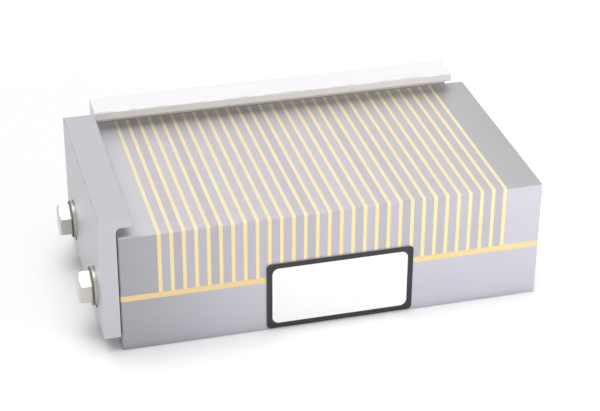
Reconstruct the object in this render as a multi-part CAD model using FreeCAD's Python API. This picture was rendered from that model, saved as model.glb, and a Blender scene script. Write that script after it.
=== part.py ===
import FreeCAD, Part
import math
import os
from FreeCAD import Placement, Rotation, Vector

# Fine-pole permanent magnetic chuck with two adjustable fences, switched by half a turn of a hex key.
# Millimetres. The origin is the centre of the underside, +X runs along the length towards the drive
# end, -Y is the front with the label and +Z is up. The chuck is drawn switched off.

# ---- overall body -------------------------------------------------------------------------------
body_length = 178.0
body_depth = 100.0
body_height = 53.0
edge_chamfer = 0.5
side_wall = 14.0             # front and rear wall beside the magnet pocket
roof_thickness = 12.0        # pole plates above the magnet pocket

# ---- laminated poles ----------------------------------------------------------------------------
pole_pitch = 5.0
strip_thickness = 1.5        # brass between two steel plates
min_end_block = 15.0         # shortest solid steel block at each end of the laminations
band_bottom = 23.2           # the brass band parts the laminated block from the base
band_thickness = 2.5

# ---- bottom cover -------------------------------------------------------------------------------
cover_thickness = 5.0        # its underside is ground level with the base's
cover_lap = 8.0              # how far the cover reaches under the base's walls
cover_lap_clearance = 0.2
gasket_thickness = 0.5
cover_screws_per_side = 4
cover_screw_diameter = 4.0
cover_screw_bite = 8.0       # into the base's ledge
screw_sink = 0.3             # screw heads below the face that they are let into

# ---- fences -------------------------------------------------------------------------------------
fence_gap = 0.4              # leg to body
fence_leg = 7.0
fence_lip = 4.0
fence_rise = 4.5             # lip's underside above the work face at rest
fence_lowest = 0.4           # the same when the fence is right down, so that its root clears the edge
fence_up = 5.5               # travel from rest
fence_foot = 6.8             # lower end of the leg above the table at rest
fence_root_radius = 2.0
fence_edge_chamfer = 0.5
end_lip_reach = 6.1          # lip over the work face
rear_lip_reach = 7.5
corner_gap = 1.0             # between the two fences where they meet
rear_fence_stop_short = 8.5  # from the drive end

# ---- fence bolts, M8 ----------------------------------------------------------------------------
bolt_diameter = 8.0
bolt_flats = 13.0
bolt_head = 5.3
bolt_crown_angle = 30.0      # chamfer round the top of the head
bolt_thread_depth = 11.0
bolt_hole_extra = 1.5        # drilled past the end of the bolt
bolt_height = 21.5
bolt_from_fence_end = 18.0
rear_bolt_from_fence_end = 24.0
rear_bolt_count = 3
washer_outer = 16.0
washer_bore = 8.4
washer_thickness = 1.6
washer_float = 0.05          # washer to fence, so that the fence can slide
slot_clearance = 0.4         # each side of the bolt, and past it at both ends of the travel

# ---- drive --------------------------------------------------------------------------------------
shaft_height = 13.5
journal_diameter = 12.0
drum_diameter = 15.6
spigot_diameter = 8.0
key_flats = 8.0
key_depth = 12.0
shaft_recess = 0.3           # outer end behind the body's end face
running_clearance = 0.05     # radial, journals and rollers
press_gap = 0.01             # radial, parts pressed together
thread_clearance = 0.1       # radial, screws in their holes
bush_wall = 1.45
flange_thickness = 3.0
flange_width = 44.0
flange_height = 17.8
flange_shaft_clearance = 0.2
counterbore_depth = 3.0
counterbore_diameter = 18.0
seal_thickness = 1.6
ring_thickness = 1.2
ring_groove_depth = 0.5
ring_outer = 15.5
thrust_washer_thickness = 1.5
axial_clearance = 0.05
drum_length = 22.1
drum_bore_depth = 9.0
stub_diameter = 8.0
drum_pin_diameter = 3.0
bearing_thickness = 5.2
bearing_gap = 0.2            # drum to bearing
bearing_width = 26.0
bearing_foot = 6.0
bearing_screw_diameter = 3.0
bearing_screw_bite = 4.5
flange_screw_diameter = 3.0
flange_screw_bite = 6.0
flange_screw_inset = 5.0     # from the flange's rounded ends

# ---- cam groove and follower --------------------------------------------------------------------
switch_angle = 180.0         # key turn from off to on
roller_diameter = 6.0
groove_clearance = 0.1       # roller to groove wall
groove_depth = 3.0
groove_end_wall = 3.4        # drum left at the blind end beyond the groove
follower_stem = 3.0
follower_shank = 6.0
boss_diameter = 12.0
boss_height = 2.4
boss_clearance = 0.3

# ---- magnet pack --------------------------------------------------------------------------------
tray_floor = 3.0
tray_side = 4.0
tray_end = 5.0
tray_near_end = 3.0          # thinnest end wall on the far side from the drive
tray_wall_drop = 3.0         # tray walls stop this far below the bars' top
bar_side_clearance = 0.1
clamp_bar = 5.0
clamp_space = 1.0            # least room to slide the clamp bar
stack_screw_diameter = 5.0
stack_screw_spacing = 18.0
pack_end_clearance = 0.5     # at both ends of the travel
roof_clearance = 0.15
slide_clearance = 0.1
rail_width = 10.0
rail_lip = 1.5
rail_lip_height = 6.0
rail_side_clearance = 0.1
rail_screws_per_rail = 2
rail_screw_diameter = 4.0
rail_screw_bite = 8.0

# ---- label --------------------------------------------------------------------------------------
label_width = 62.5
label_height = 31.0
label_thickness = 0.5
label_radius = 2.0
label_above_table = 0.8
label_offset = 2.3           # centre, towards the drive end

# ---- worked out from the values above -----------------------------------------------------------
half_length = body_length / 2
half_depth = body_depth / 2
band_top = band_bottom + band_thickness
plate_thickness = pole_pitch - strip_thickness
strip_count = 1 + int((body_length - 2 * min_end_block - strip_thickness) / pole_pitch + 1e-6)
plate_count = strip_count - 1
stack_length = strip_count * strip_thickness + plate_count * plate_thickness
pocket_x = stack_length / 2
pocket_y = half_depth - side_wall
roof = body_height - roof_thickness
first_strip = -pocket_x + strip_thickness / 2

cover_top = cover_thickness
ledge = cover_top + gasket_thickness

journal_radius = journal_diameter / 2
drum_radius = drum_diameter / 2
pack_travel = pole_pitch / 2
pack_bottom = shaft_height + drum_radius + boss_clearance + boss_height
pack_top = roof - roof_clearance
pack_left = -pocket_x + pack_end_clearance
pack_right = pocket_x - pack_end_clearance - pack_travel
rail_y = pocket_y - rail_side_clearance
tray_y = rail_y - rail_lip - rail_side_clearance
bar_y = tray_y - tray_side - bar_side_clearance

counterbore_floor = half_length - flange_thickness - counterbore_depth
thrust_washer_left = pocket_x - axial_clearance - thrust_washer_thickness
drum_right = thrust_washer_left - axial_clearance
drum_left = drum_right - drum_length
groove_width = roller_diameter + 2 * groove_clearance
follower_x = drum_left + groove_end_wall + groove_width / 2
shaft_end = half_length - shaft_recess

fence_outer = fence_gap + fence_leg
lip_bottom = body_height + fence_rise
fence_down = fence_rise - fence_lowest
end_fence_length = body_depth - rear_lip_reach - corner_gap
rear_fence_left = -half_length + end_lip_reach + corner_gap / 2
rear_fence_right = half_length - rear_fence_stop_short
slot_radius = bolt_diameter / 2 + slot_clearance

X_AXIS = Vector(1, 0, 0)
Y_AXIS = Vector(0, 1, 0)
Z_AXIS = Vector(0, 0, 1)


# ---- small helpers ------------------------------------------------------------------------------
def block(x0, x1, y0, y1, z0, z1):
    return Part.makeBox(x1 - x0, y1 - y0, z1 - z0, Vector(x0, y0, z0))


def rod(radius, start, axis, length):
    return Part.makeCylinder(radius, length, start, axis)


def ring(outer_radius, inner_radius, start, axis, length):
    return rod(outer_radius, start, axis, length).cut(rod(inner_radius, start, axis, length))


def polygon_face(points):
    return Part.Face(Part.makePolygon(points + [points[0]]))


def hexagon(flats, centre, axis, length):
    """Prism across flats, standing on the plane through centre."""
    corner = flats / math.sqrt(3)
    turns = [math.radians(60 * side) for side in range(6)]
    prism = polygon_face([Vector(corner * math.cos(a), corner * math.sin(a), 0) for a in turns])
    prism = prism.extrude(Z_AXIS * length)
    prism.Placement = Placement(centre, Rotation(Z_AXIS, axis))
    return prism


def chamfer_where(shape, size, wanted):
    """Chamfer the straight edges whose two end points satisfy wanted."""
    edges = [e for e in shape.Edges
             if len(e.Vertexes) == 2 and wanted(e.Vertexes[0].Point, e.Vertexes[1].Point)]
    return shape.makeChamfer(size, edges)


def vertical(a, b):
    return abs(a.x - b.x) < 1e-6 and abs(a.y - b.y) < 1e-6


def spread(count, low, high):
    """Evenly spaced places from low to high, both ends included."""
    if count == 1:
        return [(low + high) / 2]
    return [low + (high - low) * i / (count - 1) for i in range(count)]


def save(name, solids):
    """Write one solid, or a group of separate solids, as one STEP file."""
    shape = Part.makeCompound(solids) if isinstance(solids, list) else solids
    shape.exportStep("parts/" + name + ".step")
    print(name, len(shape.Solids), "solids", round(shape.Volume, 1), "mm3", shape.isValid())


# ---- fasteners ----------------------------------------------------------------------------------
def countersunk_screw(diameter, length, entry, axis):
    """Flat-headed socket screw let into the face at entry; its shank ends at length along axis."""
    tip = entry + axis * screw_sink
    shank_radius = diameter / 2 - thread_clearance
    shank = rod(shank_radius, tip, axis, length - screw_sink)
    head = Part.makeCone(diameter, shank_radius, diameter / 2, tip, axis)
    socket = hexagon(0.6 * diameter, tip, axis, 0.4 * diameter)
    return shank.fuse(head).cut(socket)


def countersunk_hole(diameter, length, entry, axis):
    """The space for such a screw, with its seat, from the face at entry."""
    head_radius = diameter + thread_clearance
    mouth = rod(head_radius, entry, axis, screw_sink)
    seat = Part.makeCone(head_radius, diameter / 2, diameter / 2, entry + axis * screw_sink, axis)
    return rod(diameter / 2, entry, axis, length).fuse(mouth).fuse(seat)


def hex_bolt(face, axis):
    """M8 bolt whose head sits on the plane through face, with its shank along axis."""
    shank_length = washer_thickness + washer_float + fence_outer + bolt_thread_depth
    head = hexagon(bolt_flats, face, axis * -1, bolt_head)
    top_radius = 0.47 * bolt_flats
    flare = bolt_head / math.tan(math.radians(bolt_crown_angle))
    crown = Part.makeCone(top_radius + flare, top_radius, bolt_head, face, axis * -1)
    shank = rod(bolt_diameter / 2 - thread_clearance, face, axis, shank_length)
    return head.common(crown).fuse(shank)


def bolt_hole(entry, axis):
    return rod(bolt_diameter / 2, entry, axis, bolt_thread_depth + bolt_hole_extra)


# ---- places of the fasteners --------------------------------------------------------------------
end_bolt_ys = [-half_depth + bolt_from_fence_end,
               -half_depth + end_fence_length - bolt_from_fence_end]
rear_bolt_xs = spread(rear_bolt_count, rear_fence_left + rear_bolt_from_fence_end,
                      rear_fence_right - rear_bolt_from_fence_end)
fence_bolt_holes = [bolt_hole(Vector(-half_length, y, bolt_height), X_AXIS) for y in end_bolt_ys]
fence_bolt_holes += [bolt_hole(Vector(x, half_depth, bolt_height), Y_AXIS * -1) for x in rear_bolt_xs]

cover_x = pocket_x + cover_lap - cover_lap_clearance
cover_y = pocket_y + cover_lap - cover_lap_clearance
cover_screw_x = pocket_x + cover_lap / 2
cover_screw_y = pocket_y + cover_lap / 2
cover_screw_places = [Vector(x, side * cover_screw_y, 0)
                      for side in (-1, 1)
                      for x in spread(cover_screws_per_side, -cover_screw_x, cover_screw_x)]
cover_screw_length = cover_thickness + gasket_thickness + cover_screw_bite

rail_half = pocket_x - cover_lap_clearance
rail_screw_length = cover_thickness + rail_screw_bite
rail_screw_places = [Vector(x, side * (rail_y - rail_width / 2), 0)
                     for side in (-1, 1)
                     for x in spread(rail_screws_per_rail, -rail_half * 0.7, rail_half * 0.7)]

bearing_right = drum_left - bearing_gap
bearing_left = bearing_right - bearing_thickness
bearing_screw_length = cover_thickness + bearing_screw_bite
bearing_screw_places = [Vector((bearing_left + bearing_right) / 2, side * bearing_width * 0.37, 0)
                        for side in (-1, 1)]

flange_screw_length = flange_thickness + flange_screw_bite
flange_screw_places = [Vector(half_length, side * (flange_width / 2 - flange_screw_inset), shaft_height)
                       for side in (-1, 1)]


# ---- base, band and laminated block -------------------------------------------------------------
def make_base_housing():
    """Steel base: open frame with a rebate below for the cover and the drive's hole in its end."""
    outer = block(-half_length, half_length, -half_depth, half_depth, 0, band_bottom)

    def outer_edge(a, b):
        return vertical(a, b) or (a.z < 1e-6 and b.z < 1e-6)
    outer = chamfer_where(outer, edge_chamfer, outer_edge)
    pocket = block(-pocket_x, pocket_x, -pocket_y, pocket_y, -1, band_bottom + 1)
    rebate = block(-pocket_x - cover_lap, pocket_x + cover_lap,
                   -pocket_y - cover_lap, pocket_y + cover_lap, -1, ledge)
    base = outer.cut(pocket).cut(rebate)
    base = base.cut(rod(journal_radius + running_clearance + bush_wall + press_gap,
                        Vector(pocket_x - 1, 0, shaft_height), X_AXIS, half_length - pocket_x))
    base = base.cut(rod(counterbore_diameter / 2, Vector(counterbore_floor, 0, shaft_height),
                        X_AXIS, half_length))
    base = base.cut(make_flange_blank(press_gap))
    for place in cover_screw_places:
        base = base.cut(rod(cover_screw_diameter / 2, place, Z_AXIS, cover_screw_length + 1))
    for place in flange_screw_places:
        base = base.cut(countersunk_hole(flange_screw_diameter, flange_screw_length + 1,
                                         place, X_AXIS * -1))
    for hole in fence_bolt_holes:
        base = base.cut(hole)
    return base


def make_brass_band():
    outer = block(-half_length, half_length, -half_depth, half_depth, band_bottom, band_top)
    outer = chamfer_where(outer, edge_chamfer, vertical)
    band = outer.cut(block(-pocket_x, pocket_x, -pocket_y, pocket_y, band_bottom - 1, band_top + 1))
    for hole in fence_bolt_holes:
        band = band.cut(hole)
    return band


def make_end_block(side):
    """Solid steel end of the laminated block; side is -1 on the left and 1 at the drive end."""
    x0, x1 = sorted((side * pocket_x, side * half_length))
    shape = block(x0, x1, -half_depth, half_depth, band_top, body_height)

    def outer_edge(a, b):
        on_end = abs(a.x - side * half_length) < 1e-6 and abs(b.x - side * half_length) < 1e-6
        on_top = a.z > body_height - 1e-6 and b.z > body_height - 1e-6
        across = abs(a.x - b.x) < 1e-6
        return (vertical(a, b) and on_end) or (on_top and (on_end or not across))
    return chamfer_where(shape, edge_chamfer, outer_edge)


def make_lamination(x, thickness):
    """Inverted U that bridges the magnet pocket and stands on the brass band at both sides."""
    c = edge_chamfer
    half_profile = [(half_depth, band_top), (half_depth, body_height - c), (half_depth - c, body_height)]
    inner = [(-pocket_y, band_top), (-pocket_y, roof), (pocket_y, roof), (pocket_y, band_top)]
    mirrored = [(-y, z) for y, z in reversed(half_profile)]
    profile = [Vector(x, y, z) for y, z in half_profile + mirrored + inner]
    return polygon_face(profile).extrude(X_AXIS * thickness)


def make_laminations():
    strips = []
    plates = []
    for i in range(strip_count):
        left = -pocket_x + i * pole_pitch
        strips.append(make_lamination(left, strip_thickness))
        if i < plate_count:
            plates.append(make_lamination(left + strip_thickness, plate_thickness))
    return strips, plates


# ---- bottom cover -------------------------------------------------------------------------------
def make_bottom_cover():
    cover = block(-cover_x, cover_x, -cover_y, cover_y, 0, cover_top)
    cover = chamfer_where(cover, edge_chamfer, vertical)
    for places, diameter in ((cover_screw_places, cover_screw_diameter),
                             (rail_screw_places, rail_screw_diameter),
                             (bearing_screw_places, bearing_screw_diameter)):
        for place in places:
            cover = cover.cut(countersunk_hole(diameter, cover_thickness + 1, place, Z_AXIS))
    return cover


def make_cover_gasket():
    gasket = block(-cover_x, cover_x, -cover_y, cover_y, cover_top, ledge)
    gasket = gasket.cut(block(-pocket_x, pocket_x, -pocket_y, pocket_y, cover_top - 1, ledge + 1))
    for place in cover_screw_places:
        gasket = gasket.cut(rod(cover_screw_diameter / 2, place, Z_AXIS, cover_screw_length))
    return gasket


def make_slide_rail(side):
    """Brass rail under one side of the magnet pack, with a lip that guides the pack sideways."""
    top = pack_bottom - slide_clearance
    inner = rail_y - rail_width
    points = [(inner, cover_top), (rail_y, cover_top), (rail_y, top + rail_lip_height),
              (rail_y - rail_lip, top + rail_lip_height), (rail_y - rail_lip, top), (inner, top)]
    face = polygon_face([Vector(-rail_half, side * y, z) for y, z in points])
    rail = face.extrude(X_AXIS * (2 * rail_half))
    for place in rail_screw_places:
        if place.y * side > 0:
            rail = rail.cut(rod(rail_screw_diameter / 2, place, Z_AXIS, rail_screw_length + 1))
    return rail


# ---- drive --------------------------------------------------------------------------------------
def on_axis(x):
    return Vector(x, 0, shaft_height)


def make_flange_blank(clearance):
    half_width = flange_width / 2 + clearance
    half_height = flange_height / 2 + clearance
    blank = block(half_length - flange_thickness - clearance, half_length + clearance * 2,
                  -half_width, half_width, shaft_height - half_height, shaft_height + half_height)
    round_off = [e for e in blank.Edges
                 if abs(e.Vertexes[0].Point.x - e.Vertexes[1].Point.x) > 1e-6]
    return blank.makeFillet(half_height * 0.6, round_off)


def make_drive_flange():
    """Oval plate let into the end face, with the hole that the key goes through."""
    flange = make_flange_blank(0).cut(rod(journal_radius + flange_shaft_clearance,
                                          on_axis(counterbore_floor), X_AXIS, body_length))
    for place in flange_screw_places:
        flange = flange.cut(countersunk_hole(flange_screw_diameter, flange_thickness + 1,
                                             place, X_AXIS * -1))
    return flange


def make_drive_bush():
    bore = journal_radius + running_clearance
    return ring(bore + bush_wall, bore, on_axis(pocket_x), X_AXIS, counterbore_floor - pocket_x)


def make_shaft_seal():
    start = half_length - flange_thickness - seal_thickness - press_gap
    seal = ring(counterbore_diameter / 2 - running_clearance, journal_radius + running_clearance,
                on_axis(start), X_AXIS, seal_thickness)
    lip_recess = ring(counterbore_diameter / 2 - 1.2, journal_radius + 0.8,
                      on_axis(start), X_AXIS, seal_thickness / 2)
    return seal.cut(lip_recess)


def make_thrust_washer():
    return ring(drum_radius, journal_radius + running_clearance * 2,
                on_axis(thrust_washer_left), X_AXIS, thrust_washer_thickness)


def make_drive_shaft():
    """Journal with the key's hexagon in its outer end, a ring groove and a stub for the drum."""
    stub_start = drum_right - drum_bore_depth + axial_clearance
    shaft = rod(journal_radius, on_axis(drum_right), X_AXIS, shaft_end - drum_right)
    shaft = shaft.fuse(rod(stub_diameter / 2 - press_gap, on_axis(stub_start), X_AXIS,
                           drum_right - stub_start))
    groove_start = counterbore_floor + axial_clearance
    shaft = shaft.cut(ring(journal_radius + 1, journal_radius - ring_groove_depth,
                           on_axis(groove_start), X_AXIS, ring_thickness + axial_clearance))
    shaft = shaft.cut(hexagon(key_flats, on_axis(shaft_end - key_depth), X_AXIS, key_depth + 1))
    return shaft.cut(drum_pin_hole())


def drum_pin_hole():
    centre_x = drum_right - drum_bore_depth / 2
    return rod(drum_pin_diameter / 2, Vector(centre_x, -drum_radius - 1, shaft_height),
               Y_AXIS, drum_diameter + 2)


def make_drum_pin():
    centre_x = drum_right - drum_bore_depth / 2
    half_pin = drum_radius - 0.4
    return rod(drum_pin_diameter / 2 - press_gap, Vector(centre_x, -half_pin, shaft_height),
               Y_AXIS, 2 * half_pin)


def make_cam_groove():
    """Half-turn helical groove, round at both ends as a milling cutter leaves it.

    The follower stands above the drum. A key turn that is clockwise, seen from the drive end,
    brings the groove's other end under it, which lies one pack travel nearer to the drive end.
    """
    floor = drum_radius - groove_depth
    top = drum_radius + 1.0
    lead = pack_travel * 360.0 / switch_angle
    helix = Part.makeHelix(lead, pack_travel, (floor + top) / 2)
    half = groove_width / 2
    profile = Part.makePolygon([Vector(floor, 0, -half), Vector(top, 0, -half),
                                Vector(top, 0, half), Vector(floor, 0, half), Vector(floor, 0, -half)])
    sweep = Part.Wire(helix).makePipeShell([profile], True, True)
    cutter_start = rod(half, Vector(floor, 0, 0), X_AXIS, top - floor)
    cutter_end = rod(half, Vector(floor, 0, 0), X_AXIS, top - floor)
    cutter_end.rotate(Vector(0, 0, 0), Z_AXIS, switch_angle)
    cutter_end.translate(Vector(0, 0, pack_travel))
    groove = sweep.fuse(cutter_start).fuse(cutter_end)
    # Lay the drum's axis along +X, with the groove's start on top.
    groove.Placement = Placement(Vector(follower_x, 0, shaft_height),
                                 Rotation(Z_AXIS, Y_AXIS * -1, X_AXIS))
    return groove


def make_cam_drum():
    """Barrel cam: turns with the shaft and draws the magnet pack along by its helical groove."""
    drum = rod(drum_radius, on_axis(drum_left), X_AXIS, drum_length)
    rim = [e for e in drum.Edges if len(e.Vertexes) == 1]
    drum = drum.makeChamfer(0.4, rim)
    spigot_length = bearing_thickness + bearing_gap
    drum = drum.fuse(rod(spigot_diameter / 2, on_axis(drum_left - spigot_length), X_AXIS,
                         spigot_length + 1))
    drum = drum.cut(rod(stub_diameter / 2, on_axis(drum_right - drum_bore_depth), X_AXIS,
                        drum_bore_depth + 1))
    return drum.cut(drum_pin_hole()).cut(make_cam_groove())


def make_retaining_ring():
    """Open snap ring in the shaft's groove, with its gap on top."""
    start = on_axis(counterbore_floor + axial_clearance * 1.5)
    snap = ring(ring_outer / 2, journal_radius - ring_groove_depth + thread_clearance,
                start, X_AXIS, ring_thickness)
    gap = block(start.x - 1, start.x + ring_thickness + 1, -2.0, 2.0, shaft_height,
                shaft_height + ring_outer)
    return snap.cut(gap)


def make_inner_bearing():
    """Round-topped pedestal on the cover that steadies the drum's far end."""
    top_radius = spigot_diameter / 2 + 3.0
    foot_top = cover_top + bearing_foot
    half = bearing_width / 2
    x = bearing_left
    left_spring = Vector(x, -top_radius, shaft_height)
    crown = Vector(x, 0, shaft_height + top_radius)
    right_spring = Vector(x, top_radius, shaft_height)
    right = [right_spring, Vector(x, top_radius, foot_top), Vector(x, half, foot_top),
             Vector(x, half, cover_top), Vector(x, -half, cover_top), Vector(x, -half, foot_top),
             Vector(x, -top_radius, foot_top), left_spring]
    edges = [Part.Arc(left_spring, crown, right_spring).toShape()]
    edges += [Part.LineSegment(a, b).toShape() for a, b in zip(right, right[1:])]
    pedestal = Part.Face(Part.Wire(edges)).extrude(X_AXIS * bearing_thickness)
    pedestal = pedestal.cut(rod(spigot_diameter / 2 + running_clearance, on_axis(x - 1), X_AXIS,
                                bearing_thickness + 2))
    for place in bearing_screw_places:
        pedestal = pedestal.cut(rod(bearing_screw_diameter / 2, place, Z_AXIS,
                                    bearing_screw_length + 1))
    return pedestal


# ---- magnet pack --------------------------------------------------------------------------------
# Off, each flux bar lies under a brass strip and shorts the plates beside it. One pack travel
# further it lies under a steel plate, which sends its flux up into the work.
bar_bottom = pack_bottom + tray_floor
first_bar_index = math.ceil((pack_left + tray_near_end + plate_thickness / 2 - first_strip)
                            / pole_pitch - 1e-6)
first_bar = first_strip + first_bar_index * pole_pitch
stack_left = first_bar - plate_thickness / 2
tray_inner_right = pack_right - tray_end
stack_room = tray_inner_right - clamp_bar - clamp_space - stack_left
flux_bar_count = 1 + int((stack_room - plate_thickness) / pole_pitch + 1e-6)
stack_right = stack_left + plate_thickness + (flux_bar_count - 1) * pole_pitch
tray_top = pack_top - tray_wall_drop
stack_screw_height = (bar_bottom + tray_top) / 2
stack_screw_ys = [-stack_screw_spacing, 0, stack_screw_spacing]


def make_pack_tray():
    """Aluminium tray that carries the bars, with a boss below for the follower."""
    tray = block(pack_left, pack_right, -tray_y, tray_y, pack_bottom, tray_top)
    tray = chamfer_where(tray, edge_chamfer * 2, vertical)
    inner_y = tray_y - tray_side
    tray = tray.cut(block(stack_left, tray_inner_right, -inner_y, inner_y, bar_bottom, tray_top + 1))
    tray = tray.fuse(rod(boss_diameter / 2, Vector(follower_x, 0, pack_bottom - boss_height),
                         Z_AXIS, boss_height + 1))
    tray = tray.cut(rod(follower_shank / 2, Vector(follower_x, 0, pack_bottom - boss_height - 1),
                        Z_AXIS, boss_height + tray_floor + 2))
    for y in stack_screw_ys:
        tray = tray.cut(rod(stack_screw_diameter / 2, Vector(tray_inner_right - 1, y, stack_screw_height),
                            X_AXIS, tray_end + 2))
    return tray


def make_pack_bars():
    flux_bars = []
    magnets = []
    for i in range(flux_bar_count):
        left = stack_left + i * pole_pitch
        flux_bars.append(block(left, left + plate_thickness, -bar_y, bar_y, bar_bottom, pack_top))
        if i < flux_bar_count - 1:
            magnets.append(block(left + plate_thickness, left + pole_pitch, -bar_y, bar_y,
                                 bar_bottom, pack_top - 0.5))
    return flux_bars, magnets


def make_stack_clamp():
    return block(stack_right, stack_right + clamp_bar, -bar_y, bar_y, bar_bottom, tray_top)


def make_stack_screws():
    """Socket set screws through the tray's end wall that press on the clamp bar."""
    screws = []
    start_x = stack_right + clamp_bar
    for y in stack_screw_ys:
        start = Vector(start_x, y, stack_screw_height)
        length = pack_right - start_x
        screw = rod(stack_screw_diameter / 2 - thread_clearance, start, X_AXIS, length)
        socket = hexagon(2.5, Vector(pack_right - 2.5, y, stack_screw_height), X_AXIS, 3.5)
        screws.append(screw.cut(socket))
    return screws


def make_follower_pin():
    """Stud screwed up into the tray's boss; its stem and button carry the roller."""
    tip = shaft_height + drum_radius - groove_depth + 0.1
    shank_bottom = pack_bottom - boss_height
    button = rod(roller_diameter / 2 - 0.5, Vector(follower_x, 0, tip), Z_AXIS, 0.6)
    stem = rod(follower_stem / 2, Vector(follower_x, 0, tip), Z_AXIS, shank_bottom - tip + 1)
    shank = rod(follower_shank / 2 - thread_clearance, Vector(follower_x, 0, shank_bottom), Z_AXIS,
                boss_height + tray_floor)
    return button.fuse(stem).fuse(shank)


def make_follower_roller():
    bottom = shaft_height + drum_radius - groove_depth + 0.1 + 0.6 + axial_clearance
    top = pack_bottom - boss_height - axial_clearance
    return ring(roller_diameter / 2, follower_stem / 2 + running_clearance,
                Vector(follower_x, 0, bottom), Z_AXIS, top - bottom)


# ---- fences -------------------------------------------------------------------------------------
def make_fence_bar(length, lip_reach):
    """Angle section along +Y: outer face at x = -fence_outer, lip reaching over the work face."""
    bottom = fence_foot
    top = lip_bottom + fence_lip
    r = fence_root_radius
    c = fence_edge_chamfer
    outer = -fence_outer
    inner = -fence_gap
    arc_middle = Vector(inner + r * (1 - math.sqrt(0.5)), 0, lip_bottom - r * (1 - math.sqrt(0.5)))
    arc = Part.Arc(Vector(inner, 0, lip_bottom - r), arc_middle, Vector(inner + r, 0, lip_bottom))
    path = [(inner + r, lip_bottom), (lip_reach - c, lip_bottom), (lip_reach, lip_bottom + c),
            (lip_reach, top - c), (lip_reach - c, top), (outer + c, top), (outer, top - c),
            (outer, bottom + c), (outer + c, bottom), (inner - c, bottom), (inner, bottom + c),
            (inner, lip_bottom - r)]
    points = [Vector(x, 0, z) for x, z in path]
    edges = [Part.LineSegment(a, b).toShape() for a, b in zip(points, points[1:])]
    return Part.Face(Part.Wire(edges + [arc.toShape()])).extrude(Y_AXIS * length)


def make_slot(y):
    """Upright slot through the leg, long enough for the fence's whole travel."""
    low = bolt_height - fence_up - slot_clearance
    high = bolt_height + fence_down + slot_clearance
    start_x = -fence_outer - 1
    depth = fence_leg + 2
    middle = block(start_x, start_x + depth, y - slot_radius, y + slot_radius, low, high)
    for z in (low, high):
        middle = middle.fuse(rod(slot_radius, Vector(start_x, y, z), X_AXIS, depth))
    return middle.removeSplitter()


def make_end_fence():
    fence = make_fence_bar(end_fence_length, end_lip_reach)
    for y in end_bolt_ys:
        fence = fence.cut(make_slot(y + half_depth))
    fence.translate(Vector(-half_length, -half_depth, 0))
    return fence


def make_rear_fence():
    """The same angle bar, turned so that its leg stands behind the body."""
    length = rear_fence_right - rear_fence_left
    fence = make_fence_bar(length, rear_lip_reach)
    for x in rear_bolt_xs:
        fence = fence.cut(make_slot(rear_fence_right - x))
    fence.rotate(Vector(0, 0, 0), Z_AXIS, -90)
    # The bar's own +Y now runs along +X and its own -X along +Y.
    fence = fence.mirror(Vector(0, 0, 0), X_AXIS)
    fence.translate(Vector(rear_fence_right, half_depth, 0))
    return fence


def make_fence_fasteners():
    """Bolts and washers for both fences, as (end bolts, end washers, rear bolts, rear washers)."""
    washer_face = fence_outer + washer_float

    def washer_at(face, axis):
        return ring(washer_outer / 2, washer_bore / 2, face, axis, washer_thickness)

    end_bolts, end_washers, rear_bolts, rear_washers = [], [], [], []
    for y in end_bolt_ys:
        outer_x = -half_length - washer_face - washer_thickness
        end_washers.append(washer_at(Vector(outer_x, y, bolt_height), X_AXIS))
        end_bolts.append(hex_bolt(Vector(outer_x, y, bolt_height), X_AXIS))
    for x in rear_bolt_xs:
        outer_y = half_depth + washer_face + washer_thickness
        rear_washers.append(washer_at(Vector(x, outer_y, bolt_height), Y_AXIS * -1))
        rear_bolts.append(hex_bolt(Vector(x, outer_y, bolt_height), Y_AXIS * -1))
    return end_bolts, end_washers, rear_bolts, rear_washers


# ---- label --------------------------------------------------------------------------------------
def make_label_plate():
    plate = block(label_offset - label_width / 2, label_offset + label_width / 2,
                  -half_depth - label_thickness, -half_depth,
                  label_above_table, label_above_table + label_height)
    corners = [e for e in plate.Edges
               if abs(e.Vertexes[0].Point.y - e.Vertexes[1].Point.y) > 1e-6]
    return plate.makeFillet(label_radius, corners)


# ---- write the parts ----------------------------------------------------------------------------
os.makedirs("parts", exist_ok=True)

save("base_housing", make_base_housing())
save("brass_band", make_brass_band())
save("left_end_block", make_end_block(-1))
save("right_end_block", make_end_block(1))
brass_strips, pole_plates = make_laminations()
save("brass_strips", brass_strips)
save("pole_plates", pole_plates)

save("bottom_cover", make_bottom_cover())
save("cover_gasket", make_cover_gasket())
save("cover_screws", [countersunk_screw(cover_screw_diameter, cover_screw_length, place, Z_AXIS)
                      for place in cover_screw_places])
save("slide_rails", [make_slide_rail(-1), make_slide_rail(1)])
save("rail_screws", [countersunk_screw(rail_screw_diameter, rail_screw_length, place, Z_AXIS)
                     for place in rail_screw_places])

save("drive_flange", make_drive_flange())
save("flange_screws", [countersunk_screw(flange_screw_diameter, flange_screw_length, place, X_AXIS * -1)
                       for place in flange_screw_places])
save("drive_bush", make_drive_bush())
save("shaft_seal", make_shaft_seal())
save("thrust_washer", make_thrust_washer())
save("inner_bearing", make_inner_bearing())
save("bearing_screws", [countersunk_screw(bearing_screw_diameter, bearing_screw_length, place, Z_AXIS)
                        for place in bearing_screw_places])

save("drive_shaft", make_drive_shaft())
save("cam_drum", make_cam_drum())
save("drum_pin", make_drum_pin())
save("retaining_ring", make_retaining_ring())

save("pack_tray", make_pack_tray())
pack_flux_bars, pack_magnets = make_pack_bars()
save("flux_bars", pack_flux_bars)
save("magnet_bars", pack_magnets)
save("stack_clamp", make_stack_clamp())
save("stack_screws", make_stack_screws())
save("follower_pin", make_follower_pin())
save("follower_roller", make_follower_roller())

save("end_fence", make_end_fence())
save("rear_fence", make_rear_fence())
end_bolts, end_washers, rear_bolts, rear_washers = make_fence_fasteners()
save("end_fence_bolts", end_bolts)
save("end_fence_washers", end_washers)
save("rear_fence_bolts", rear_bolts)
save("rear_fence_washers", rear_washers)

save("label_plate", make_label_plate())
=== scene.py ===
import math

import bpy
from mathutils import Matrix, Vector


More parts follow.
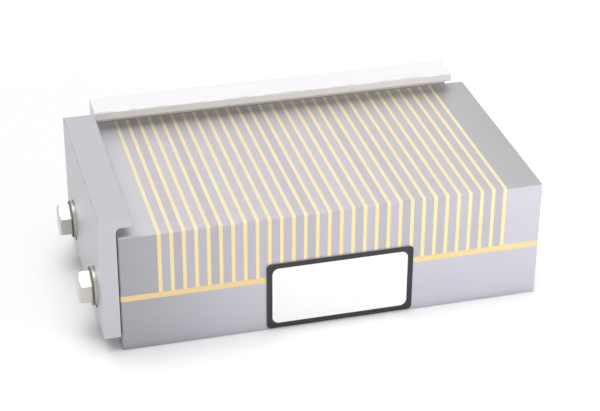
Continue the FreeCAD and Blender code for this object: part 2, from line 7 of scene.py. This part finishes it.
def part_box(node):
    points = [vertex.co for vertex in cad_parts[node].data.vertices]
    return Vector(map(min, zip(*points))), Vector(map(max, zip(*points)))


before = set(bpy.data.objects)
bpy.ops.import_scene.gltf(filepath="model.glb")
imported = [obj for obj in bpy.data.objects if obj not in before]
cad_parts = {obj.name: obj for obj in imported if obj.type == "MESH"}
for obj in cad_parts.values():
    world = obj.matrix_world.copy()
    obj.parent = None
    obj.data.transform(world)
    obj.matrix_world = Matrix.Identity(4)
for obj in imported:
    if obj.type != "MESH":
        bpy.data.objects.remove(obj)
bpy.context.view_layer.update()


# ---------------------------------------------------------------- camera and light levels
CAMERA_PLACE = (-0.17504, -0.64337, 0.41119)
CAMERA_TURN = -0.26341
CAMERA_DROP = 0.52231
CAMERA_ROLL = 0.00639
CAMERA_LENS = 106.64
SENSOR_WIDTH = 36.0

ROOM_LIGHT = 0.48            # even light that the room gives from all round
ROOM_SHINE = 1.12            # the room as metal mirrors it, brighter than the light it gives
ROOM_SEEN = 1.0              # the room as the backdrop behind the part
TOP_LIGHT = 1.7
TOP_LIGHT_SPREAD = math.radians(50.0)
TOP_LIGHT_PLACE = (-0.10, 0.14, 1.0)
SIDE_LIGHT = 1.35
SIDE_LIGHT_PLACE = (0.34, -0.40, 0.15)
SIDE_LIGHT_AIM = (0.03, -0.05, 0.03)
SIDE_LIGHT_SIZE = (0.22, 0.16)

WHITE = (1.0, 1.0, 1.0, 1.0)
SCREEN_TOP = 255.0
MIX_SHARE, MIX_FIRST, MIX_SECOND, MIX_RESULT = 0, 6, 7, 2    # a Mix node's sockets for colours


def linear(red, green, blue):
    """A colour on the usual 0-255 screen scale, turned into scene values."""
    shades = []
    for level in (red, green, blue):
        share = level / SCREEN_TOP
        shades.append(share / 12.92 if share <= 0.04045 else ((share + 0.055) / 1.055) ** 2.4)
    return (*shades, 1.0)


# ---------------------------------------------------------------- shader arithmetic
class Wire:
    """One output of a shader network, which can be added, scaled and compared like a number."""

    def __init__(self, net, socket):
        self.net = net
        self.socket = socket

    def __add__(self, other):
        return self.net.sum("ADD", self, other)

    def __radd__(self, other):
        return self.net.sum("ADD", other, self)

    def __sub__(self, other):
        return self.net.sum("SUBTRACT", self, other)

    def __rsub__(self, other):
        return self.net.sum("SUBTRACT", other, self)

    def __mul__(self, other):
        return self.net.sum("MULTIPLY", self, other)

    def __rmul__(self, other):
        return self.net.sum("MULTIPLY", other, self)

    def __truediv__(self, other):
        return self.net.sum("DIVIDE", self, other)

    def __rtruediv__(self, other):
        return self.net.sum("DIVIDE", other, self)

    def __neg__(self):
        return self.net.sum("MULTIPLY", self, -1.0)


class Net:
    """A material and the nodes that make its finish."""

    def __init__(self, name):
        self.material = bpy.data.materials.new(name)
        self.material.use_nodes = True
        self.tree = self.material.node_tree
        self.shader = self.tree.nodes["Principled BSDF"]
        geometry = self.node("ShaderNodeNewGeometry", {}, {})
        place = Wire(self, geometry.outputs["Position"])
        split = self.node("ShaderNodeSeparateXYZ", {}, {"Vector": place})
        self.x, self.y, self.z = (Wire(self, split.outputs[k]) for k in ("X", "Y", "Z"))
        facing = Wire(self, geometry.outputs["Normal"])
        tilt = self.node("ShaderNodeSeparateXYZ", {}, {"Vector": facing})
        self.nx, self.ny, self.nz = (Wire(self, tilt.outputs[k]) for k in ("X", "Y", "Z"))

    def node(self, kind, settings, values):
        made = self.tree.nodes.new(kind)
        for key, value in settings.items():
            setattr(made, key, value)
        for key, value in values.items():
            if isinstance(value, Wire):
                self.tree.links.new(value.socket, made.inputs[key])
            else:
                made.inputs[key].default_value = value
        return made

    def add(self, kind, settings, values, out=0):
        return Wire(self, self.node(kind, settings, values).outputs[out])

    def sum(self, operation, first, second=0.0):
        return self.add("ShaderNodeMath", {"operation": operation}, {0: first, 1: second})

    def absolute(self, value):
        return self.sum("ABSOLUTE", value)

    def smallest(self, first, second):
        return self.sum("MINIMUM", first, second)

    def largest(self, first, second):
        return self.sum("MAXIMUM", first, second)

    def steps(self, value, start, end, low=0.0, high=1.0):
        """Runs smoothly from low to high as value goes from start to end."""
        settings = {"interpolation_type": "SMOOTHSTEP"}
        values = {"Value": value, "From Min": start, "From Max": end, "To Min": low, "To Max": high}
        return self.add("ShaderNodeMapRange", settings, values)

    def point(self, x, y, z):
        return self.add("ShaderNodeCombineXYZ", {}, {"X": x, "Y": y, "Z": z})

    def noise(self, scales, detail=3.0, roughness=0.5, shift=0.0):
        """Cloudy variation from 0 to 1, stretched by its own scale along each direction."""
        sx, sy, sz = scales
        where = self.point(self.x * sx + shift, self.y * sy, self.z * sz)
        values = {"Vector": where, "Scale": 1.0, "Detail": detail, "Roughness": roughness}
        return self.add("ShaderNodeTexNoise", {}, values, "Fac")

    def blend(self, share, first, second):
        """Goes from the first colour to the second as share goes from 0 to 1."""
        values = {MIX_SHARE: share, MIX_FIRST: first, MIX_SECOND: second}
        return self.add("ShaderNodeMix", {"data_type": "RGBA"}, values, MIX_RESULT)

    def tone(self, colour, factor):
        """A colour made darker or lighter by a factor that varies over the surface."""
        return self.add("ShaderNodeVectorMath", {"operation": "SCALE"}, {0: colour, "Scale": factor})

    def colour(self, rgba):
        made = self.tree.nodes.new("ShaderNodeRGB")
        made.outputs[0].default_value = rgba
        return Wire(self, made.outputs[0])

    def bump(self, height, distance, strength=1.0):
        values = {"Height": height, "Distance": distance, "Strength": strength}
        return self.add("ShaderNodeBump", {}, values)

    def finish(self, **inputs):
        for key, value in inputs.items():
            socket = self.shader.inputs[key.replace("_", " ")]
            if isinstance(value, Wire):
                self.tree.links.new(value.socket, socket)
            else:
                socket.default_value = value
        return self.material


# ---------------------------------------------------------------- sizes read from the part
strips_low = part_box("brass_strips")[0]
label_low, label_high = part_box("label_plate")
end_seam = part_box("end_fence_washers")[0].x
rear_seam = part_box("rear_fence_washers")[1].y
POLE_PITCH = 0.005           # from one brass strip to the next
SEAM_SHADE_REACH = 0.0008          # how far the painted shade spreads to each side of a bolt head's seam

FACING = (0.5, 0.8)          # a face counts as turned one way between these shares of its normal
ON_END = (0.6, 0.8)
CHAMFER = (0.93, 0.80)
# Painted shade by position: the spans over which the sides darken toward the left end and the top toward the
# right end.
LEFT_SHADE_SPAN = (-0.02, -0.095)
RIGHT_SHADE_SPAN = (0.03, 0.09)
# A darker band along the bottom: its height span and its strength.
LOW_BAND_HEIGHT = (0.0035, 0.0005)
LOW_BAND_SHARE = 0.18
# Painted shade: how much darker the edge chamfers are made, in dashes.
EDGE_PAINTED_SHADE = 0.2
# Painted light: faces that look up are made lighter than the sides by this factor.
TOP_PAINTED_LIGHT = 1.04
FINE_BUMP = 0.00002


# ---------------------------------------------------------------- finishes
def ground_lines(net, seed):
    """Grinding lines, 0 to 1: along the length on the long faces and across it on the ends."""
    long_fine = net.noise((22.0, 2600.0, 2600.0), 3.0, 0.6, seed)
    end_fine = net.noise((2600.0, 22.0, 2600.0), 3.0, 0.6, seed + 7.0)
    long_broad = net.noise((5.0, 330.0, 330.0), 2.0, 0.5, seed + 13.0)
    end_broad = net.noise((330.0, 5.0, 330.0), 2.0, 0.5, seed + 17.0)
    on_end = net.steps(net.absolute(net.nx), *ON_END)
    fine = long_fine + (end_fine - long_fine) * on_end
    broad = long_broad + (end_broad - long_broad) * on_end
    return fine, broad


def chamfer_share(net):
    """1 on the narrow sloping faces along the edges and 0 on the flat faces."""
    upright = net.largest(net.absolute(net.ny), net.absolute(net.nz))
    return net.steps(net.largest(net.absolute(net.nx), upright), *CHAMFER)


def ground_metal(name, shade, painted_top_shade, roughness, metallic, seed=0.0, plates=0.0,
                 painted_end_shade=0.0, painted_side_shade=1.0):
    """Surface-ground metal: lines, soft patches, painted shade in dashes on the edge chamfers and a
    darker band low down.

    Faces that look up get their own colour and a painted light factor, so top and sides are lit
    and shaded copies of one steel. A painted shade set by position also darkens the sides
    toward the left end and the top toward the right end.
    """
    net = Net(name)
    fine, broad = ground_lines(net, seed)
    patch = net.noise((38.0, 38.0, 38.0), 4.0, 0.55, seed + 3.0)
    speck = net.noise((1500.0, 1500.0, 1500.0), 2.0, 0.6, seed + 5.0)
    pits = net.steps(speck, 0.70, 0.78)
    tone = 0.90 + fine * 0.10 + broad * 0.07 + patch * 0.06 - pits * 0.05
    if plates:
        index = net.sum("FLOOR", (net.x - strips_low.x) / POLE_PITCH)
        own = net.add("ShaderNodeTexWhiteNoise", {"noise_dimensions": "1D"}, {"W": index}, "Value")
        tone = tone + (own - 0.5) * plates
    # Painted shade: dashes of darker colour on the edge chamfers.
    edge = chamfer_share(net)
    edge_shade_dashes = net.steps(net.noise((160.0, 160.0, 160.0), 3.0, 0.5, seed + 9.0), 0.40, 0.62)
    tone = tone * (1.0 - edge * EDGE_PAINTED_SHADE * edge_shade_dashes)
    # Darker in a thin band along the bottom, in patches.
    low_darkening = net.steps(net.z, *LOW_BAND_HEIGHT) * (0.4 + patch * 0.8)
    tone = tone * (1.0 - low_darkening * LOW_BAND_SHARE)
    # Painted light and shade: faces that look up get their own colour and a lighter factor than the sides;
    # the sides darken toward the left end and the top toward the right end.
    up = net.steps(net.nz, *FACING)
    left = net.steps(net.x, *LEFT_SHADE_SPAN)
    right = net.steps(net.x, *RIGHT_SHADE_SPAN)
    top_painted_shading = TOP_PAINTED_LIGHT - right * painted_end_shade
    tone = tone * (up * top_painted_shading + (1.0 - up) * (painted_side_shade - left * painted_end_shade))
    base = net.blend(up, net.colour(linear(*shade)), net.colour(linear(*painted_top_shade)))
    warm = net.blend(patch * 0.10, net.tone(base, tone), net.colour(linear(176, 168, 150)))
    return net.finish(
        Base_Color=warm,
        Roughness=roughness - 0.05 + fine * 0.12 + patch * 0.06,
        Metallic=metallic,
        Normal=net.bump(fine * 0.7 + pits * -0.6, FINE_BUMP),
    )


def brass_metal(name, shade, painted_top_shade, roughness, metallic, seed):
    """Brazed brass ground flush: the grinding lines run on from the steel, with small drawn-out smears."""
    net = Net(name)
    fine, broad = ground_lines(net, seed)
    patch = net.noise((90.0, 90.0, 90.0), 3.0, 0.5, seed + 2.0)
    smear = net.steps(net.noise((700.0, 120.0, 120.0), 3.0, 0.6, seed + 4.0), 0.58, 0.75)
    # Painted light: faces that look up get their own colour, a lighter or darker copy of the brass.
    up = net.steps(net.nz, *FACING)
    base = net.blend(up, net.colour(linear(*shade)), net.colour(linear(*painted_top_shade)))
    deeper = net.blend(patch * 0.45, base, net.colour(linear(232, 196, 128)))
    toned = net.tone(deeper, 0.93 + fine * 0.07 + broad * 0.05 - smear * 0.06)
    return net.finish(
        Base_Color=toned,
        Roughness=roughness + fine * 0.10,
        Metallic=metallic,
        Normal=net.bump(fine, FINE_BUMP),
    )


def turned_metal(name, shade, roughness, metallic, axis, seed):
    """Lathe-turned metal: fine rings square to the axis, with a little oil in patches."""
    net = Net(name)
    scales = {"x": (5200.0, 60.0, 60.0), "z": (60.0, 60.0, 5200.0)}[axis]
    rings = net.noise(scales, 2.0, 0.6, seed)
    oil = net.steps(net.noise((120.0, 120.0, 120.0), 3.0, 0.5, seed + 3.0), 0.45, 0.7)
    toned = net.tone(net.colour(linear(*shade)), 0.90 + rings * 0.14 - oil * 0.12)
    return net.finish(
        Base_Color=toned,
        Roughness=roughness + rings * 0.10 - oil * 0.08,
        Metallic=metallic,
        Normal=net.bump(rings, FINE_BUMP),
    )


def plated_metal(name, shade, seam_place, along, seed):
    """Zinc-plated fastener: soft bright plating, faint yellow bloom, painted shade in the seam under the
    head and on the chamfers.
    """
    net = Net(name)
    bloom = net.noise((420.0, 420.0, 420.0), 4.0, 0.6, seed)
    grain = net.noise((3200.0, 3200.0, 3200.0), 2.0, 0.5, seed + 3.0)
    where = {"x": net.x, "y": net.y}[along]
    # Painted shade: a dark band at the seam between head and washer, and slightly darker chamfers.
    before = net.steps(where, seam_place - SEAM_SHADE_REACH, seam_place)
    seam = before * net.steps(where, seam_place + SEAM_SHADE_REACH, seam_place)
    edge = chamfer_share(net)
    base = net.blend(bloom * 0.5, net.colour(linear(*shade)), net.colour(linear(214, 206, 178)))
    toned = net.tone(base, (0.88 + grain * 0.14) * (1.0 - seam * 0.75) * (1.0 - edge * 0.10))
    return net.finish(
        Base_Color=toned,
        Roughness=0.22 + bloom * 0.16 + seam * 0.3,
        Metallic=0.75,
        Normal=net.bump(grain, FINE_BUMP),
    )


def dark_metal(name, shade, seed):
    """Black-oxide screw steel: near black, browner and duller in patches, bare in rubbed patches."""
    net = Net(name)
    patch = net.noise((260.0, 260.0, 260.0), 4.0, 0.6, seed)
    grain = net.noise((2400.0, 2400.0, 2400.0), 3.0, 0.5, seed + 4.0)
    rubbed = net.steps(patch + grain * 0.4, 0.78, 0.95)
    base = net.blend(patch, net.colour(linear(*shade)), net.colour(linear(64, 54, 48)))
    worn = net.blend(rubbed, base, net.colour(linear(120, 120, 124)))
    return net.finish(
        Base_Color=worn,
        Roughness=0.34 + patch * 0.2,
        Metallic=0.3 + rubbed * 0.4,
        Normal=net.bump(grain, 0.00003),
    )


def nitrile(name):
    """Black rubber: a dull skin with fine dust."""
    net = Net(name)
    dust = net.noise((600.0, 600.0, 600.0), 5.0, 0.65, 2.0)
    grain = net.noise((3000.0, 3000.0, 3000.0), 2.0, 0.5, 5.0)
    skin = net.colour(linear(30, 30, 32))
    base = net.blend(net.steps(dust, 0.5, 0.8) * 0.3, skin, net.colour(linear(104, 102, 98)))
    return net.finish(Base_Color=base, Roughness=0.6 + dust * 0.2, Normal=net.bump(grain, 0.00004))


def sintered(name):
    """Sintered magnet: dark grey, granular, with small bright chips."""
    net = Net(name)
    grain = net.noise((2200.0, 2200.0, 2200.0), 4.0, 0.7, 1.0)
    chips = net.steps(net.noise((700.0, 700.0, 700.0), 2.0, 0.5, 9.0), 0.68, 0.74)
    base = net.blend(chips * 0.5, net.colour(linear(66, 66, 72)), net.colour(linear(150, 150, 156)))
    return net.finish(
        Base_Color=net.tone(base, 0.8 + grain * 0.3),
        Roughness=0.5 + grain * 0.15,
        Metallic=0.35,
        Normal=net.bump(grain, 0.00005),
    )


def box_distance(net, across, upward, half_width, half_height, radius):
    """Distance outside a rounded rectangle round the origin, negative inside it, in metres."""
    over_x = net.absolute(across) - (half_width - radius)
    over_z = net.absolute(upward) - (half_height - radius)
    far_x = net.largest(over_x, 0.0)
    far_z = net.largest(over_z, 0.0)
    outside = net.sum("SQRT", far_x * far_x + far_z * far_z)
    inside = net.smallest(net.largest(over_x, over_z), 0.0)
    return outside + inside - radius


def printed_label(name):
    """Printed plate: a black border round a bare white panel with rounded corners."""
    net = Net(name)
    middle = (label_low + label_high) / 2
    half_width = (label_high.x - label_low.x) / 2
    half_height = (label_high.z - label_low.z) / 2
    across = net.x - middle.x
    upward = net.z - middle.z
    border = 0.0024
    corner = 0.0028
    soft = 0.00012
    panel = box_distance(net, across, upward, half_width - border, half_height - border, corner)
    on_panel = net.steps(panel, soft, -soft)
    ink = net.noise((1800.0, 1800.0, 1800.0), 3.0, 0.6, 4.0)
    haze = net.noise((70.0, 70.0, 70.0), 3.0, 0.5, 8.0)
    scuff = net.steps(net.noise((90.0, 90.0, 900.0), 4.0, 0.7, 11.0), 0.64, 0.74)
    white = net.tone(net.colour(linear(238, 238, 240)), 0.96 + haze * 0.05 - scuff * 0.05)
    black = net.tone(net.colour(linear(24, 24, 28)), 0.9 + ink * 0.2)
    colour = net.blend(on_panel, black, white)
    facing = net.steps(-net.ny, *FACING)
    rim = net.colour(linear(170, 170, 176))
    return net.finish(
        Base_Color=net.blend(facing, rim, colour),
        Roughness=0.30 + haze * 0.10 + scuff * 0.2,
        Normal=net.bump(ink, 0.00001),
        Coat_Weight=0.15,
    )


# Painted light and shade: the body and the plates are darker on the sides and toward the ends than on the
# top.
body_steel = ground_metal("body_steel", (196, 196, 206), (190, 189, 193), 0.36, 0.45, 0.0,
                          painted_end_shade=0.28, painted_side_shade=0.90)
plate_steel = ground_metal("plate_steel", (186, 184, 196), (186, 182, 190), 0.36, 0.45, 0.0, 0.10,
                           painted_end_shade=0.05, painted_side_shade=0.90)
# Painted light and shade: the fences and the strips have a separate colour for faces that look up, a lighter
# or darker copy of their side colour.
end_fence_steel = ground_metal("end_fence_steel", (192, 191, 197), (180, 179, 185), 0.40, 0.35, 21.0)
rear_fence_steel = ground_metal("rear_fence_steel", (216, 214, 214), (230, 229, 232), 0.40, 0.30, 33.0)
cover_steel = ground_metal("cover_plate_steel", (170, 171, 178), (170, 171, 178), 0.42, 0.5, 41.0)
flange_steel = ground_metal("flange_steel", (172, 173, 180), (172, 173, 180), 0.38, 0.5, 45.0)
iron = ground_metal("soft_iron", (150, 150, 156), (150, 150, 156), 0.40, 0.6, 51.0)
aluminium = ground_metal("milled_aluminium", (190, 192, 196), (190, 192, 196), 0.42, 0.6, 55.0)
strip_brass = brass_metal("strip_brass", (238, 222, 164), (236, 230, 186), 0.34, 0.35, 0.0)
band_brass = brass_metal("band_brass", (226, 204, 146), (226, 204, 146), 0.34, 0.35, 0.0)
bronze_x = turned_metal("bearing_bronze", (196, 150, 96), 0.34, 0.65, "x", 61.0)
bronze_bar = brass_metal("rail_bronze", (196, 150, 96), (196, 150, 96), 0.36, 0.6, 63.0)
shaft_x = turned_metal("shaft_steel", (176, 177, 182), 0.28, 0.65, "x", 71.0)
shaft_z = turned_metal("follower_steel", (176, 177, 182), 0.28, 0.65, "z", 73.0)
black_oxide = dark_metal("black_oxide", (36, 36, 40), 81.0)
end_plating = plated_metal("end_plating", (206, 206, 204), end_seam, "x", 91.0)
rear_plating = plated_metal("rear_plating", (206, 206, 204), rear_seam, "y", 95.0)
rubber = nitrile("nitrile")
magnet = sintered("sintered_magnet")
label = printed_label("label_print")

WEARS = {
    "base_housing": body_steel, "left_end_block": body_steel, "right_end_block": body_steel,
    "pole_plates": plate_steel, "brass_strips": strip_brass, "brass_band": band_brass,
    "end_fence": end_fence_steel, "rear_fence": rear_fence_steel,
    "end_fence_bolts": end_plating, "end_fence_washers": end_plating,
    "rear_fence_bolts": rear_plating, "rear_fence_washers": rear_plating,
    "bottom_cover": cover_steel, "drive_flange": flange_steel, "cover_gasket": rubber,
    "shaft_seal": rubber, "cover_screws": black_oxide, "rail_screws": black_oxide,
    "flange_screws": black_oxide, "bearing_screws": black_oxide, "stack_screws": black_oxide,
    "retaining_ring": black_oxide, "slide_rails": bronze_bar, "drive_bush": bronze_x,
    "thrust_washer": bronze_x, "inner_bearing": bronze_x, "stack_clamp": bronze_bar,
    "drive_shaft": shaft_x, "cam_drum": shaft_x, "drum_pin": shaft_x,
    "follower_pin": shaft_z, "follower_roller": shaft_z, "pack_tray": aluminium,
    "flux_bars": iron, "magnet_bars": magnet, "label_plate": label,
}
for node_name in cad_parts:
    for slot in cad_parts[node_name].material_slots:
        slot.material = WEARS[node_name]

# ---------------------------------------------------------------- floor and light
FLOOR_REACH = 6.0
floor_mesh = bpy.data.meshes.new("floor")
floor_turns = ((-1, -1), (1, -1), (1, 1), (-1, 1))
floor_corners = [(x * FLOOR_REACH, y * FLOOR_REACH, 0.0) for x, y in floor_turns]
floor_mesh.from_pydata(floor_corners, [], [(0, 1, 2, 3)])
floor = bpy.data.objects.new("floor", floor_mesh)
bpy.context.scene.collection.objects.link(floor)
paper = Net("paper")
floor_mesh.materials.append(paper.finish(Base_Color=(0.97, 0.97, 0.97, 1.0), Roughness=0.9))

world = bpy.data.worlds.new("studio")
bpy.context.scene.world = world
world.use_nodes = True
sky = world.node_tree
backgrounds = {}
for name, strength in (("room", ROOM_LIGHT), ("shine", ROOM_SHINE), ("seen", ROOM_SEEN)):
    backgrounds[name] = sky.nodes.new("ShaderNodeBackground")
    backgrounds[name].inputs["Color"].default_value = WHITE
    backgrounds[name].inputs["Strength"].default_value = strength
rays = sky.nodes.new("ShaderNodeLightPath")
first = sky.nodes.new("ShaderNodeMixShader")
second = sky.nodes.new("ShaderNodeMixShader")
sky.links.new(rays.outputs["Is Glossy Ray"], first.inputs[0])
sky.links.new(backgrounds["room"].outputs[0], first.inputs[1])
sky.links.new(backgrounds["shine"].outputs[0], first.inputs[2])
sky.links.new(rays.outputs["Is Camera Ray"], second.inputs[0])
sky.links.new(first.outputs[0], second.inputs[1])
sky.links.new(backgrounds["seen"].outputs[0], second.inputs[2])
sky.links.new(second.outputs[0], sky.nodes["World Output"].inputs["Surface"])


def lamp(name, kind, place, target, settings):
    light = bpy.data.lights.new(name, kind)
    for key, value in settings.items():
        setattr(light, key, value)
    made = bpy.data.objects.new(name, light)
    made.location = place
    made.rotation_euler = (Vector(target) - Vector(place)).to_track_quat("-Z", "Y").to_euler()
    bpy.context.scene.collection.objects.link(made)


lamp("top_light", "SUN", TOP_LIGHT_PLACE, (0.0, 0.0, 0.0),
     {"energy": TOP_LIGHT, "angle": TOP_LIGHT_SPREAD})
lamp("side_light", "AREA", SIDE_LIGHT_PLACE, SIDE_LIGHT_AIM,
     {"shape": "RECTANGLE", "size": SIDE_LIGHT_SIZE[0], "size_y": SIDE_LIGHT_SIZE[1],
      "energy": SIDE_LIGHT})


# ---------------------------------------------------------------- camera
def camera_frame(turn, drop, roll):
    """The camera's right, up and back directions from its turn, its drop and its roll."""
    right = Vector((math.cos(turn), math.sin(turn), 0.0))
    up = Vector((-math.sin(turn) * math.sin(drop), math.cos(turn) * math.sin(drop), math.cos(drop)))
    back = Vector((math.sin(turn) * math.cos(drop), -math.cos(turn) * math.cos(drop), math.sin(drop)))
    turned_right = right * math.cos(roll) + up * math.sin(roll)
    turned_up = up * math.cos(roll) - right * math.sin(roll)
    return turned_right, turned_up, back


camera_data = bpy.data.cameras.new("camera")
camera_data.sensor_width = SENSOR_WIDTH
camera_data.lens = CAMERA_LENS
camera = bpy.data.objects.new("camera", camera_data)
bpy.context.scene.collection.objects.link(camera)
directions = camera_frame(CAMERA_TURN, CAMERA_DROP, CAMERA_ROLL)
camera.matrix_world = Matrix.Translation(CAMERA_PLACE) @ Matrix(directions).transposed().to_4x4()
bpy.context.scene.camera = camera
bpy.context.scene.view_settings.view_transform = "Standard"
